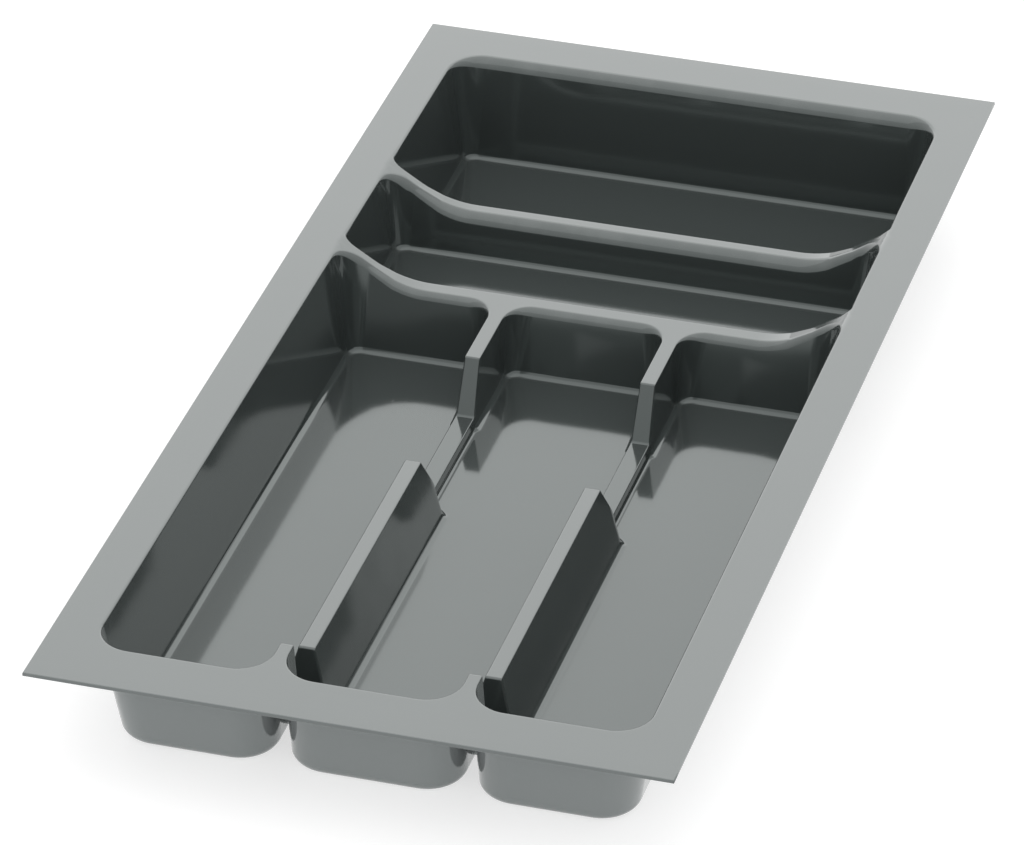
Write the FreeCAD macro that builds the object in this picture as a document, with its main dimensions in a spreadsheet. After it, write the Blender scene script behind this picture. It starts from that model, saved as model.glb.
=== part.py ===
import FreeCAD, Part
import os

# Cutlery tray for a kitchen drawer, formed from one sheet of plastic.
# A flat rim carries five sunken wells: a wide rear well, a shallower middle well and three long
# front wells side by side. Two hollow cross dividers with dipped crests part the rear, middle and
# front wells. Two hollow ribs part the front wells: each has a neck behind, a low saddle for the
# fingers, a long ridge and a short tongue at the front rim.
#
# The frame: X to the right, Y to the back, Z up. The origin is on the ground under the tray's middle.
#
# The sheet is worked out as the space between two moulds. The upper mould is the shape that the
# tray's upper side follows. The under mould is the same shape one wall further down and in.
# The sheet is then divided into its named regions by upright planes, so neighbours meet face to face.

# Name, value and meaning of each size: millimetres, and degrees for the drafts and slopes.
SIZES = [
    ("tray_width", "230", "rim, side to side"),
    ("tray_length", "490", "rim, front to back"),
    ("wall", "1.5", "thickness of the formed sheet"),
    ("side_rim", "16.7", "rim beside the wells, left and right"),
    ("end_rim", "23.5", "rim before the front wells and behind the rear well"),
    ("deep_depth", "40", "rear and front wells, rim to floor"),
    ("middle_depth", "32", "middle well, rim to floor"),
    ("rear_length", "86.5", "rear well, crest to back rim"),
    ("middle_length", "53.5", "middle well, crest to crest"),
    ("crest_width", "9", "flat top of a cross divider"),
    ("wall_draft", "9", "lean of the outer and cross walls"),
    ("mouth_corner", "13", "corner radius of every well, seen from above"),
    ("floor_round", "3", "radius between wall and floor"),
    ("dip_depth", "15", "rim to the low middle of a crest, a neck or a ridge"),
    ("dip_slope", "34", "fall of the crest beside the side rims"),
    ("dip_round", "40", "radius between that slope and the low middle"),
    ("rib_width", "5.8", "top of a rib at the level of the crests"),
    ("rib_draft", "2", "lean of the neck, saddle and tongue walls"),
    ("neck_length", "39.9", "neck top, from the front crest"),
    ("neck_slope", "24.6", "lean of the neck's front end"),
    ("saddle_height", "4.7", "saddle top, above the floor"),
    ("ridge_start", "40.5", "front rim's edge to the ridge top"),
    ("saddle_length", "56.7", "saddle top, from the ridge's foot to the neck's"),
    ("ridge_side_draft", "16", "lean of the ridge's sides"),
    ("ridge_front_draft", "12", "lean of the ridge's front end"),
    ("ridge_back_draft", "26", "lean of the ridge's back end"),
    ("tongue_length", "19.5", "tongue at rim level, from the front rim's edge"),
    ("tongue_draft", "7", "lean of the tongue's end"),
    ("lip", "3", "width of rim that belongs to the wells"),
    ("divider_foot", "9", "floor that belongs to a cross divider, from its crest"),
    ("rib_foot", "11", "half of the floor strip that belongs to a rib"),
    ("saddle_foot", "3", "flat end of a saddle that belongs to the neck or the ridge"),
    ("overrun", "5", "how far cutting shapes run past the sheet"),
]

# An edge is steep if it rises by more than this share of its length,
# and low if it lies within this share of the height from the bottom.
STEEP_SHARE = 0.5
LOW_SHARE = 0.01

# A wedge is drawn with its height along Y, so it is stood upright: its Y becomes Z, and its Z minus Y.
UPRIGHT = FreeCAD.Placement(FreeCAD.Vector(), FreeCAD.Rotation(FreeCAD.Vector(1, 0, 0), 90))

doc = FreeCAD.newDocument("CutleryTray")
sheet = doc.addObject("Spreadsheet::Sheet", "Sizes")
for row, (alias, value, meaning) in enumerate(SIZES, start=1):
    sheet.set(f"A{row}", alias)
    sheet.set(f"B{row}", value)
    sheet.set(f"C{row}", meaning)
    sheet.setAlias(f"B{row}", alias)
doc.recompute()


def angle(alias, function):
    """Expression for a function of an angle that the sheet gives in degrees."""
    return f"{function}(Sizes.{alias} * 1 deg)"


# Levels above the ground.
TOP = "(Sizes.deep_depth + Sizes.wall)"
CREST = f"({TOP} - Sizes.dip_depth)"
SADDLE = "(Sizes.wall + Sizes.saddle_height)"

# Edges of the wells' mouths beside the rim, measured from the tray's middle.
INNER_X = "(Sizes.tray_width / 2 - Sizes.side_rim)"
INNER_Y = "(Sizes.tray_length / 2 - Sizes.end_rim)"

# Edges of the two crests at their low middle, from back to front.
REAR_CREST_BACK = f"({INNER_Y} - Sizes.rear_length)"
REAR_CREST_FRONT = f"({REAR_CREST_BACK} - Sizes.crest_width)"
FRONT_CREST_BACK = f"({REAR_CREST_FRONT} - Sizes.middle_length)"
FRONT_CREST_FRONT = f"({FRONT_CREST_BACK} - Sizes.crest_width)"

# The ribs stand so that the three front wells are equally wide between them.
RIB_X = f"(({INNER_X} - Sizes.rib_width) / 3 + Sizes.rib_width / 2)"

# Dividers and ribs are narrower at rim level than at their tops, which lie lower.
CREST_RISE = f"(Sizes.dip_depth * {angle('wall_draft', 'tan')})"
RIB_HALF = f"(Sizes.rib_width / 2 - Sizes.dip_depth * {angle('rib_draft', 'tan')})"

# Ends of the neck, saddle, ridge and tongue along the tray. The neck starts from the front crest and
# the saddle from the neck's foot, so the ridge takes up what is left of the front wells' length.
NECK_END = f"({FRONT_CREST_FRONT} - Sizes.neck_length)"
SADDLE_BACK = f"({NECK_END} - ({CREST} - {SADDLE}) * {angle('neck_slope', 'tan')})"
SADDLE_FRONT = f"({SADDLE_BACK} - Sizes.saddle_length)"
RIDGE_BACK = f"({SADDLE_FRONT} - ({CREST} - {SADDLE}) * {angle('ridge_back_draft', 'tan')})"
RIDGE_FRONT = f"(Sizes.ridge_start - {INNER_Y})"
TONGUE_END = f"(Sizes.tongue_length - {INNER_Y})"


def bind(thing, **expressions):
    """Tie each property of a document object to its expression."""
    for name, expression in expressions.items():
        thing.setExpression(name, expression)


def place(thing, x, y, z):
    """Tie the place of a document object to three expressions."""
    thing.setExpression("Placement.Base.x", x)
    thing.setExpression("Placement.Base.y", y)
    thing.setExpression("Placement.Base.z", z)


def box(name, x_span, y_span, z_span):
    """Upright box between pairs of expressions."""
    solid = doc.addObject("Part::Box", name)
    bind(solid, Length=f"{x_span[1]} - {x_span[0]}", Width=f"{y_span[1]} - {y_span[0]}",
         Height=f"{z_span[1]} - {z_span[0]}")
    place(solid, x_span[0], y_span[0], z_span[0])
    return solid


def wedge(name, z_span, low_x, low_y, high_x, high_y):
    """Body of four leaning sides between a low and a high rectangle."""
    body = doc.addObject("PartDesign::Body", name)
    body.Placement = UPRIGHT
    solid = body.newObject("PartDesign::AdditiveWedge", f"{name}_wedge")
    bind(solid, Ymin=z_span[0], Ymax=z_span[1],
         Xmin=low_x[0], Xmax=low_x[1], Zmin=f"-{low_y[1]}", Zmax=f"-{low_y[0]}",
         X2min=high_x[0], X2max=high_x[1], Z2min=f"-{high_y[1]}", Z2max=f"-{high_y[0]}")
    doc.recompute()
    return body


def is_steep(edge, shape):
    """True for an edge that climbs from the floor to the mouth."""
    rise = abs(edge.Vertexes[0].Y - edge.Vertexes[-1].Y)
    return rise > STEEP_SHARE * edge.Length


def is_low(edge, shape):
    """True for an edge on the floor."""
    levels = [vertex.Y for vertex in shape.Vertexes]
    return edge.CenterOfMass.y - min(levels) < LOW_SHARE * (max(levels) - min(levels))


def is_low_across(edge, shape):
    """True for an edge on the floor that runs along the tray."""
    run = abs(edge.Vertexes[0].Z - edge.Vertexes[-1].Z)
    return is_low(edge, shape) and run > STEEP_SHARE * edge.Length


def round_edges(body, test, radius):
    """Fillet on those edges of the body's last feature that pass the test."""
    base = body.Tip
    names = [f"Edge{index}" for index, edge in enumerate(base.Shape.Edges, start=1)
             if test(edge, base.Shape)]
    fillet = body.newObject("PartDesign::Fillet", f"{body.Name}_{test.__name__}")
    fillet.Base = (base, names)
    bind(fillet, Radius=radius)
    doc.recompute()


def cavity(name, x_span, y_span, x_drafts, y_drafts, depth, grow):
    """Space in one well: leaning walls, rounded corners and a rounded floor edge.

    The spans are those of the mouth at rim level, and each side leans by its own draft.
    Every face lies further out by grow, square to the face.
    """
    def side(place_at, draft, sign):
        out = f"({place_at} {'+' if sign > 0 else '-'} {grow} / {angle(draft, 'cos')})"
        inset = f"({depth} + {grow}) * {angle(draft, 'tan')}"
        return out, f"({out} {'-' if sign > 0 else '+'} {inset})"

    left = side(x_span[0], x_drafts[0], -1)
    right = side(x_span[1], x_drafts[1], 1)
    front = side(y_span[0], y_drafts[0], -1)
    back = side(y_span[1], y_drafts[1], 1)
    body = wedge(name, (f"{TOP} - {depth} - {grow}", TOP),
                 (left[1], right[1]), (front[1], back[1]), (left[0], right[0]), (front[0], back[0]))
    round_edges(body, is_steep, f"Sizes.mouth_corner + {grow}")
    round_edges(body, is_low, f"Sizes.floor_round + {grow}")
    return body


def wells(mould, grow):
    """The five wells of one mould."""
    outer = ("wall_draft", "wall_draft")
    deep = "Sizes.deep_depth"
    across = (f"-{INNER_X}", INNER_X)
    front_span = (f"-{INNER_Y}", f"({FRONT_CREST_FRONT} + {CREST_RISE})")
    middle_span = (f"({FRONT_CREST_BACK} - {CREST_RISE})", f"({REAR_CREST_FRONT} + {CREST_RISE})")
    rear_span = (f"({REAR_CREST_BACK} - {CREST_RISE})", INNER_Y)
    near_rib = f"({RIB_X} - {RIB_HALF})"
    far_rib = f"({RIB_X} + {RIB_HALF})"
    return [
        cavity(f"{mould}_rear", across, rear_span, outer, outer, deep, grow),
        cavity(f"{mould}_middle", across, middle_span, outer, outer, "Sizes.middle_depth", grow),
        cavity(f"{mould}_left", (f"-{INNER_X}", f"-{far_rib}"), front_span,
               ("wall_draft", "rib_draft"), outer, deep, grow),
        cavity(f"{mould}_centre", (f"-{near_rib}", near_rib), front_span,
               ("rib_draft", "rib_draft"), outer, deep, grow),
        cavity(f"{mould}_right", (far_rib, INNER_X), front_span,
               ("rib_draft", "wall_draft"), outer, deep, grow),
    ]


def valley(mould, grow):
    """Space above the crests and necks, which dip in the middle of the tray."""
    reach = f"({INNER_X} + {grow} / {angle('dip_slope', 'sin')})"
    low_reach = f"({reach} - (Sizes.dip_depth + {grow}) / {angle('dip_slope', 'tan')})"
    y_span = (NECK_END, f"({REAR_CREST_BACK} + 2 * Sizes.mouth_corner)")
    body = wedge(f"{mould}_valley", (f"{CREST} - {grow}", TOP),
                 (f"-{low_reach}", low_reach), y_span, (f"-{reach}", reach), y_span)
    round_edges(body, is_low_across, f"Sizes.dip_round + {grow}")
    return body


def finger_gap(mould, grow):
    """Space above the saddles, between the necks and the tongues."""
    def end(at_top, slope, sign):
        out = f"({at_top} {'+' if sign > 0 else '-'} {grow} / {angle(slope, 'cos')})"
        run = f"({TOP} - {SADDLE} + {grow}) * {angle(slope, 'tan')}"
        return out, f"({out} {'-' if sign > 0 else '+'} {run})"

    neck_at_top = f"{NECK_END} + Sizes.dip_depth * {angle('neck_slope', 'tan')}"
    front = end(TONGUE_END, "tongue_draft", -1)
    back = end(neck_at_top, "neck_slope", 1)
    across = (f"-({RIB_X} + Sizes.rib_width)", f"({RIB_X} + Sizes.rib_width)")
    return wedge(f"{mould}_gap", (f"{SADDLE} - {grow}", TOP),
                 across, (front[1], back[1]), across, (front[0], back[0]))


def ridge(name, middle, grow):
    """Long ridge on a rib, standing on the floor and smaller by grow on every side."""
    def side(at_top, draft, sign):
        level = f"({at_top} {'-' if sign > 0 else '+'} {grow} / {angle(draft, 'cos')})"
        out = '+' if sign > 0 else '-'
        top = f"({level} {out} {grow} * {angle(draft, 'tan')})"
        return top, f"({level} {out} ({CREST} + 2 * Sizes.overrun) * {angle(draft, 'tan')})"

    left = side(f"{middle} - Sizes.rib_width / 2", "ridge_side_draft", -1)
    right = side(f"{middle} + Sizes.rib_width / 2", "ridge_side_draft", 1)
    front = side(RIDGE_FRONT, "ridge_front_draft", -1)
    back = side(RIDGE_BACK, "ridge_back_draft", 1)
    return wedge(name, ("-2 * Sizes.overrun", f"{CREST} - {grow}"),
                 (left[1], right[1]), (front[1], back[1]), (left[0], right[0]), (front[0], back[0]))


def mould(name, grow, margin, bottom):
    """Solid under the tray's upper side, or under its lower side where grow is the wall."""
    half_x = f"(Sizes.tray_width / 2 + {margin})"
    half_y = f"(Sizes.tray_length / 2 + {margin})"
    block = box(f"{name}_block", (f"-{half_x}", half_x), (f"-{half_y}", half_y),
                (f"({bottom})", f"({TOP} - {grow})"))
    hollow = doc.addObject("Part::MultiFuse", f"{name}_hollow")
    hollow.Shapes = wells(name, grow) + [valley(name, grow), finger_gap(name, grow)]
    carved = doc.addObject("Part::Cut", f"{name}_carved")
    carved.Base = block
    carved.Tool = hollow
    form = doc.addObject("Part::MultiFuse", f"{name}_form")
    form.Shapes = [carved, ridge(f"{name}_left_ridge", f"-{RIB_X}", grow),
                   ridge(f"{name}_right_ridge", RIB_X, grow)]
    doc.recompute()
    return form


moulding = doc.addObject("Part::Cut", "moulding")
moulding.Base = mould("upper", "0", "0", "-2 * Sizes.overrun")
moulding.Tool = mould("under", "Sizes.wall", "Sizes.overrun", "-3 * Sizes.overrun")
doc.recompute()


nodes = []


def region(name, x_span, y_span):
    """The part of the moulding between upright planes, as a node of its own."""
    space = box(f"{name}_space", x_span, y_span, ("(-Sizes.overrun)", f"({TOP} + Sizes.overrun)"))
    node = doc.addObject("Part::Common", name)
    node.Base = moulding
    node.Tool = space
    node.Label = name
    nodes.append(node)


# Planes that divide the moulding.
edge_x = "(Sizes.tray_width / 2 + Sizes.overrun)"
edge_y = "(Sizes.tray_length / 2 + Sizes.overrun)"
rim_x = f"({INNER_X} + Sizes.lip)"
rim_y = f"({INNER_Y} + Sizes.lip)"
rear_back = f"({REAR_CREST_BACK} + Sizes.divider_foot)"
rear_front = f"({REAR_CREST_FRONT} - Sizes.divider_foot)"
front_back = f"({FRONT_CREST_BACK} + Sizes.divider_foot)"
front_front = f"({FRONT_CREST_FRONT} - Sizes.divider_foot)"
rib_inner = f"({RIB_X} - Sizes.rib_foot)"
rib_outer = f"({RIB_X} + Sizes.rib_foot)"
neck_plane = f"({SADDLE_BACK} - Sizes.saddle_foot)"
ridge_plane = f"({SADDLE_FRONT} + Sizes.saddle_foot)"
tongue_plane = f"(({TONGUE_END} + {RIDGE_FRONT}) / 2)"
across = (f"-{rim_x}", rim_x)

region("left_rim", (f"-{edge_x}", f"-{rim_x}"), (f"-{edge_y}", edge_y))
region("right_rim", (rim_x, edge_x), (f"-{edge_y}", edge_y))
region("front_rim", across, (f"-{edge_y}", f"-{rim_y}"))
region("back_rim", across, (rim_y, edge_y))
region("rear_well", across, (rear_back, rim_y))
region("rear_divider", across, (rear_front, rear_back))
region("middle_well", across, (front_back, rear_front))
region("front_divider", across, (front_front, front_back))
region("left_well", (f"-{rim_x}", f"-{rib_outer}"), (f"-{rim_y}", front_front))
region("centre_well", (f"-{rib_inner}", rib_inner), (f"-{rim_y}", front_front))
region("right_well", (rib_outer, rim_x), (f"-{rim_y}", front_front))
for hand, x_span in (("left", (f"-{rib_outer}", f"-{rib_inner}")), ("right", (rib_inner, rib_outer))):
    region(f"{hand}_neck", x_span, (neck_plane, front_front))
    region(f"{hand}_saddle", x_span, (ridge_plane, neck_plane))
    region(f"{hand}_ridge", x_span, (tongue_plane, ridge_plane))
    region(f"{hand}_tongue", x_span, (f"-{rim_y}", tongue_plane))
doc.recompute()

for thing in doc.Objects:
    if "Invalid" in thing.State or "Error" in thing.State:
        raise RuntimeError(f"{thing.Label} failed: {thing.State}")
for node in nodes:
    if node.Shape.isNull() or not node.Shape.isValid() or len(node.Shape.Solids) != 1:
        raise RuntimeError(f"{node.Label} is not one sound solid")

os.makedirs("parts", exist_ok=True)
for node in nodes:
    node.Shape.Solids[0].exportStep(f"parts/{node.Label}.step")
    size = node.Shape.BoundBox
    print(f"{node.Label}: {size.XLength:.2f} x {size.YLength:.2f} x {size.ZLength:.2f} mm, "
          f"{node.Shape.Volume:.0f} mm3")
print(f"sheet volume {moulding.Shape.Volume:.0f} mm3, nodes {sum(n.Shape.Volume for n in nodes):.0f} mm3")
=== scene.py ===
# %% [markdown]
# # A cutlery tray formed from one sheet
# This tray lies in a kitchen drawer. It is one sheet of grey plastic, warmed and drawn down into a mould,
# so its walls are thin, its ribs are hollow from below and every well is open from above. The lesson builds
# that sheet, with one even thickness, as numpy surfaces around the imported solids, cuts it into the tray's
# named regions, and gives it its finish.

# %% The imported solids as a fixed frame
from collections import namedtuple

import bmesh
import bpy
import numpy as np
from mathutils import Matrix, Vector


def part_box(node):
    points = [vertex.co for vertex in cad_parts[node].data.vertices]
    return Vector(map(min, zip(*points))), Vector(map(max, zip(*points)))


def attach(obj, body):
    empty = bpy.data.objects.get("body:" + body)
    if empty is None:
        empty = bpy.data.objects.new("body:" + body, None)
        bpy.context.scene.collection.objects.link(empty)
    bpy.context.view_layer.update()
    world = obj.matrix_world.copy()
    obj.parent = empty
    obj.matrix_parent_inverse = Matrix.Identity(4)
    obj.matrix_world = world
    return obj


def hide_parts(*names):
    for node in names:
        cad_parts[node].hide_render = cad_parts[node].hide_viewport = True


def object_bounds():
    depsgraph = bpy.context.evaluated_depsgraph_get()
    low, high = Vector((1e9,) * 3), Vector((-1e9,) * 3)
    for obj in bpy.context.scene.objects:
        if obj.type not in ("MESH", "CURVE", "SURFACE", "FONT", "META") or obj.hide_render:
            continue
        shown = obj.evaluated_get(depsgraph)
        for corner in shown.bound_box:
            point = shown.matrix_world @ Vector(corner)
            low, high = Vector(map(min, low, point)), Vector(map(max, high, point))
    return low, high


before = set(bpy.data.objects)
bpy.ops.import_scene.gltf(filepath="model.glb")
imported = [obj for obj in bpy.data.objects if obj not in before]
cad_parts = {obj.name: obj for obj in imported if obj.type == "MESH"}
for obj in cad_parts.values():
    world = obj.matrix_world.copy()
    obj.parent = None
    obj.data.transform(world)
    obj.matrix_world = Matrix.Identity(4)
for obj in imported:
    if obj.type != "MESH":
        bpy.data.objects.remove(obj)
cad_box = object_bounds()
print("solids:", len(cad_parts), "box:", [tuple(round(v, 4) for v in corner) for corner in cad_box])

# %% [markdown]
# ## The camera
# The tray is seen from its front right, from a third of the way up, through a long lens that hardly
# narrows the far end. A camera can be placed by hand, but here four plain facts are enough: the point that
# it looks at, its distance, and the two angles of its line of sight. The picture is also turned by a
# fraction of a degree about that line.

# %% Camera
MM = 0.001
TOP = cad_box[1].z
VIEW_CENTRE = Vector((0, -40.4 * MM, TOP))
VIEW_DISTANCE = 2473 * MM
VIEW_AZIMUTH = np.radians(15.87)
VIEW_ELEVATION = np.radians(31.41)
VIEW_ROLL = np.radians(0.31)
VIEW_LENS = 240.4
SENSOR_WIDTH = 36.0
VIEW_END = 20.0

to_camera = Vector((np.sin(VIEW_AZIMUTH) * np.cos(VIEW_ELEVATION),
                    -np.cos(VIEW_AZIMUTH) * np.cos(VIEW_ELEVATION), np.sin(VIEW_ELEVATION)))
camera = bpy.data.objects.new("camera", bpy.data.cameras.new("camera"))
camera.data.lens = VIEW_LENS
camera.data.sensor_width = SENSOR_WIDTH
camera.data.clip_end = VIEW_END
turn = (-to_camera).to_track_quat("-Z", "Y").to_matrix() @ Matrix.Rotation(VIEW_ROLL, 3, "Z")
camera.matrix_world = Matrix.Translation(VIEW_CENTRE + to_camera * VIEW_DISTANCE) @ turn.to_4x4()
bpy.context.scene.collection.objects.link(camera)
bpy.context.scene.camera = camera
print("camera at", [round(v, 3) for v in camera.matrix_world.translation])

# %% [markdown]
# ## Sizes
# What the solids can tell is read from them: the tray's outline, the sheet's thickness, the middle lines of
# the dividers and ribs, and the depths of the wells. Only the finer sizes are written here, such as
# roundings and the places where a rib changes its height. A wall's lean is how far it moves in for each
# unit of depth: the tangent of its angle. A lip is how far an edge's rounding reaches along the wall and
# along the top beside it. The edges that face the front are the rounder ones.

# %% Sizes read from the solids
HALF_WIDTH, HALF_LENGTH = cad_box[1].x, cad_box[1].y
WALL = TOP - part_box("front_rim")[0].z
RIM_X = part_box("right_rim")[0].x
RIM_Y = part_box("back_rim")[0].y
RIB_X = sum(corner.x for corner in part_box("right_neck")) / 2
REAR_CREST_Y = sum(corner.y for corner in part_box("rear_divider")) / 2
FRONT_CREST_Y = sum(corner.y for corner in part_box("front_divider")) / 2
DEEP = TOP - WALL
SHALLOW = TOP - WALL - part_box("middle_well")[0].z
print(f"wall {WALL / MM:.2f}, wells {DEEP / MM:.1f} and {SHALLOW / MM:.1f} deep, ribs at {RIB_X / MM:.2f} mm")

# %% Sizes of the forms
MOUTH_INSET = 3.0 * MM
FLANGE_STEP = 2.0 * MM
MOUTH_X = RIM_X - MOUTH_INSET
MOUTH_Y = RIM_Y - MOUTH_INSET
FLANGE_Y = RIM_Y + FLANGE_STEP
MOUTH_CORNER = 13.0 * MM
CREST_CORNER = 4.0 * MM
FLOOR_CORNER = 5.5 * MM
FLOOR_ROUND = 2.8 * MM
SADDLE_ROUND = 1.2 * MM
CREST_HALF = 4.5 * MM
CREST_DIP = 15.0 * MM
DIP_SLOPE = np.radians(34.0)
DIP_ROUND = 40.0 * MM
DIP_SHOULDER = 4.0 * MM
RIB_HALF = 2.9 * MM
LEAN_DEGREES = {"back rim": 12.5, "front rim": 6.5, "side rim": 9.4, "front crest": 17.0, "rear crest": 11.5,
                "crest back": 6.5, "rib": 2.0, "ridge": 16.0}
LEANS = {name: np.tan(np.radians(degrees)) for name, degrees in LEAN_DEGREES.items()}
LIPS = {"back rim": 3.8 * MM, "front rim": 1.3 * MM, "side rim": 0.8 * MM, "front crest": 2.6 * MM,
        "rear crest": 4.0 * MM, "crest back": 1.1 * MM, "rib": 0.5 * MM, "rib end": 0.7 * MM}
RIB_TOP_HALF = RIB_HALF - CREST_DIP * LEANS["rib"]
print("wall leans:", {name: round(float(lean), 3) for name, lean in LEANS.items()})


def smooth(share):
    """Smooth step: 0 up to share 0, then 3 share squared less 2 share cubed, and 1 from share 1."""
    share = np.clip(share, 0, 1)
    return share * share * (3 - 2 * share)


# %% [markdown]
# ## The dipped crest
# Seen from the front, the top of a cross divider falls from the side rims to a low middle, which lets a hand
# reach in. It could be drawn as a curve object, but a formula in pieces gives its depth at any place,
# which the walls below need too: level rim, a short convex arc, a straight fall, a wide concave arc and a
# level middle.

# %% Depth of a crest
def crest_depth(x, shoulder):
    """Depth below the rim at distance x from the tray's middle plane.

    A circle's depth at a distance from its centre is the radius less the root of the radius squared less
    that distance squared. Two such arcs, tangent to the straight fall, join it to the rim and the middle.
    """
    x = np.abs(x)
    fall = np.tan(DIP_SLOPE)
    half_turn = np.tan(DIP_SLOPE / 2)
    shoulder_start = MOUTH_X + shoulder * half_turn
    shoulder_end = MOUTH_X - shoulder * half_turn * np.cos(DIP_SLOPE)
    low_corner = MOUTH_X - CREST_DIP / fall
    low_start = low_corner + DIP_ROUND * half_turn * np.cos(DIP_SLOPE)
    low_end = low_corner - DIP_ROUND * half_turn
    upper_arc = shoulder - np.sqrt(np.maximum(shoulder**2 - (shoulder_start - x) ** 2, 0))
    lower_arc = CREST_DIP - DIP_ROUND + np.sqrt(np.maximum(DIP_ROUND**2 - (x - low_end) ** 2, 0))
    return np.select([x >= shoulder_start, x > shoulder_end, x > low_start, x > low_end],
                     [0, upper_arc, (MOUTH_X - x) * fall, lower_arc], CREST_DIP)


def crest_land(points, crest_y):
    """Depth of the land round a crest: its shoulder is rounded on the crest and fades out along the rim."""
    away = np.abs(points[..., 1] - crest_y)
    round_share = smooth((MOUTH_CORNER + CREST_HALF - away) / MOUTH_CORNER * 2)
    sharp = crest_depth(points[..., 0], 0.0)
    return sharp + (crest_depth(points[..., 0], DIP_SHOULDER) - sharp) * round_share


print("crest depths at the rim, past its shoulder and in the middle, mm:",
      (crest_depth(np.array([MOUTH_X, MOUTH_X - DIP_SHOULDER, 0]), DIP_SHOULDER) / MM).round(2))

# %% [markdown]
# ## The rib's outline from the side
# A rib is a thin hollow wall between two front wells. Seen from the side it starts as a tongue of the front
# rim, drops into a notch, climbs to a long ridge, drops to a low saddle for the fingers and climbs again to
# the neck that joins the front divider. Such an outline is a row of corners with a tangent arc at each. The
# sheet's lower side follows the same corners, moved in by the wall, with smaller arcs on the outer corners
# and larger arcs on the inner ones.

# %% Corners of the rib's outline
SADDLE_HEIGHT = 4.7 * MM
TONGUE_LENGTH = 19.5 * MM
RIDGE_SETBACK = 40.5 * MM
NECK_LENGTH = 39.9 * MM
SADDLE_LENGTH = 56.7 * MM
TONGUE_FLAT = 1.7 * MM
NECK_MARGIN = 28.0 * MM
TONGUE_SLOPE, RIDGE_FRONT_SLOPE, RIDGE_BACK_SLOPE, NECK_SLOPE = np.tan(np.radians([7.0, 12.0, 26.0, 24.6]))
NOTCH_DEPTH = DEEP - SADDLE_HEIGHT
TONGUE_END = -MOUTH_Y + TONGUE_LENGTH
RIDGE_START = -MOUTH_Y + RIDGE_SETBACK
NECK_START = FRONT_CREST_Y - CREST_HALF - NECK_LENGTH
RIB_DROP = NOTCH_DEPTH - CREST_DIP
SADDLE_BACK = NECK_START - RIB_DROP * NECK_SLOPE
SADDLE_FRONT = SADDLE_BACK - SADDLE_LENGTH
RIDGE_END = SADDLE_FRONT - RIB_DROP * RIDGE_BACK_SLOPE
RIB_ENDS = (TONGUE_END - TONGUE_FLAT, FRONT_CREST_Y - NECK_MARGIN)
RIB_CORNERS = np.array([
    (RIB_ENDS[0], 0), (TONGUE_END, 0),
    (TONGUE_END + NOTCH_DEPTH * TONGUE_SLOPE, -NOTCH_DEPTH),
    (RIDGE_START - RIB_DROP * RIDGE_FRONT_SLOPE, -NOTCH_DEPTH),
    (RIDGE_START, -CREST_DIP), (RIDGE_END, -CREST_DIP),
    (SADDLE_FRONT, -NOTCH_DEPTH), (SADDLE_BACK, -NOTCH_DEPTH),
    (NECK_START, -CREST_DIP), (RIB_ENDS[1], -CREST_DIP)])
print("rib corners along the tray, mm:", (RIB_CORNERS[:, 0] / MM).round(1))

# %% Points along the rib's outline
RIB_RUN_STEPS = (2, 8, 10, 6, 40, 8, 36, 7, 8)
RIB_ARC_STEPS = 6
OUTER_ROUND, INNER_ROUND, LEAST_ROUND = 1.0 * MM, 1.5 * MM, 0.2 * MM


def rib_outline(grow):
    """Points of the rib's outline and its inward normals, for a sheet surface that lies grow further in.

    Each corner moves by grow times the sum of its two normals over one plus their product. A tangent arc
    starts at the radius times the tangent of half the turn before its corner, and its points come from the
    turning direction: the sine and the cosine of the angle, each less its value at the start.
    """
    runs = np.diff(RIB_CORNERS, axis=0)
    angles = np.arctan2(runs[:, 1], runs[:, 0])
    normals = np.stack([np.sin(angles), -np.cos(angles)], axis=1)
    product = np.sum(normals[:-1] * normals[1:], axis=1, keepdims=True)
    shift = np.vstack([normals[:1], (normals[:-1] + normals[1:]) / (1 + product), normals[-1:]])
    corners = RIB_CORNERS + grow * shift
    points, facing, start = [], [], corners[0]
    for index, angle in enumerate(angles):
        along = np.array([np.cos(angle), np.sin(angle)])
        turn = angles[index + 1] - angle if index + 1 < len(angles) else 0.0
        radius = INNER_ROUND + grow if turn > 0 else max(OUTER_ROUND - grow, LEAST_ROUND)
        stop = corners[index + 1] - along * radius * np.tan(abs(turn) / 2)
        share = np.linspace(0, 1, RIB_RUN_STEPS[index] + 1)[:, None]
        points.append(start + (stop - start) * share)
        facing.append(np.repeat(angle, len(share)))
        bend = angle + turn * np.linspace(0, 1, RIB_ARC_STEPS + 1)[1:]
        swing = np.stack([np.sin(bend) - np.sin(angle), np.cos(angle) - np.cos(bend)], axis=1)
        arc = stop + np.sign(turn) * radius * swing
        start = arc[-1]
        points.append(arc[:-1])
        facing.append(bend[:-1])
    inner = len(np.concatenate(points)) - (RIB_ARC_STEPS - 1)
    facing = np.concatenate(facing)[:inner]
    return np.concatenate(points)[:inner], np.stack([np.sin(facing), -np.cos(facing)], axis=1)


print("rib outline:", len(rib_outline(0.0)[0]), "points, under it", len(rib_outline(WALL)[0]))


# %% Lean and foot along the rib
RIDGE_LEAD, FRONT_FADE = 10 * MM, 5 * MM
RIDGE_TRAIL, BACK_FADE = 2 * MM, 8 * MM
SADDLE_FADE = 3 * MM


def rib_lean(y):
    """Lean of the rib's sides: steep, but more slanted along the ridge, with smooth steps at its feet."""
    front = smooth((y - (RIDGE_START - RIDGE_LEAD)) / FRONT_FADE)
    back = smooth((SADDLE_FRONT + RIDGE_TRAIL - y) / BACK_FADE)
    return LEANS["rib"] + (LEANS["ridge"] - LEANS["rib"]) * front * back


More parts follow.
